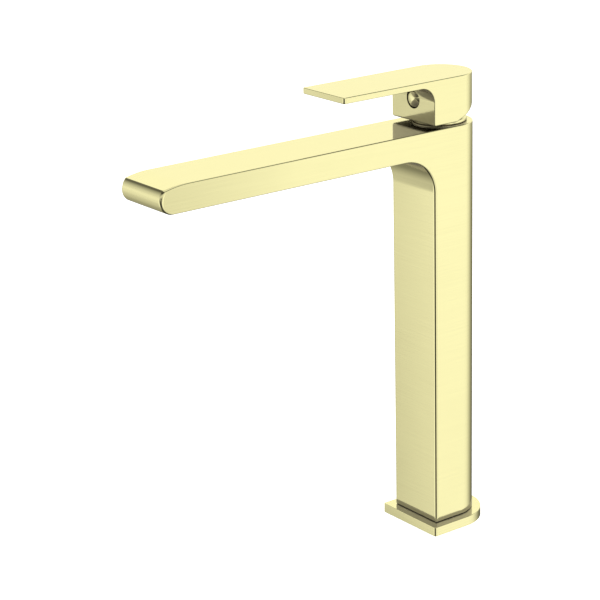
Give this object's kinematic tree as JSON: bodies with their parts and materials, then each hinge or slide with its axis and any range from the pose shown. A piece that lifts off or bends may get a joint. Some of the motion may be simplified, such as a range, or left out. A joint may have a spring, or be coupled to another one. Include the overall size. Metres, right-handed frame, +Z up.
{
  "type": "tall single-lever basin mixer faucet",
  "caption": "Tall D-plan column on a thin base plate with a long flat spout, and a flat lever over the head that lifts for flow and turns for temperature.",
  "frame": {"origin": "on the deck, under the base plate, on the upright axis of the cartridge and of the round back", "axes": "+Z up the column, -Y along the spout from the column to the outlet, +X to the cold side, which is the user's right"},
  "size_m": [0.0584, 0.2755, 0.3306],
  "materials": {
    "brushed_gold": "brushed pale gold",
    "polished_gold": "polished pale gold",
    "raw_brass": "machined",
    "copper": "drawn copper",
    "steel": "machined stainless",
    "ceramic": "lapped alumina",
    "cartridge_plastic": "moulded",
    "rubber": "matt"
  },
  "bodies": {
    "root": {"base_plate": "brushed_gold", "base_seal": "rubber", "column_gasket": "rubber", "mounting_foot": "raw_brass", "body_shell": "brushed_gold", "neck_ring": "polished_gold", "aerator_housing": "polished_gold", "aerator_insert": "cartridge_plastic", "aerator_seal": "rubber", "cold_supply_tube": "copper", "cold_inlet_seal": "rubber", "hot_supply_tube": "copper", "hot_inlet_seal": "rubber", "cartridge_base": "cartridge_plastic", "fixed_disc": "ceramic", "cartridge_housing": "cartridge_plastic", "cartridge_oring": "rubber", "cartridge_nut": "raw_brass"},
    "rotor": {"stem_rotor": "cartridge_plastic", "stem_pin": "steel"},
    "disc": {"disc_carrier": "cartridge_plastic", "moving_disc": "ceramic"},
    "lever": {"valve_stem": "steel", "lever_handle": "brushed_gold", "grub_screw": "steel", "index_plug": "polished_gold"}
  },
  "joints": [
    {"name": "mix_turn", "type": "hinge", "parent": "root", "child": "rotor", "pos_m": [0, 0, 0.28], "axis": [0, 0, 1], "range_deg": [-50, 50]},
    {"name": "lever_lift", "type": "hinge", "parent": "rotor", "child": "lever", "pos_m": [0, 0, 0.28], "axis": [-1, 0, 0], "range_deg": [0, 25]},
    {"name": "disc_slide", "type": "slide", "parent": "rotor", "child": "disc", "axis": [0, -1, 0], "range_m": [0, 0.0055]}
  ],
  "couplings": [
    {"joint": "disc_slide", "follows": "lever_lift", "m_per_rad": 0.0121}
  ]
}
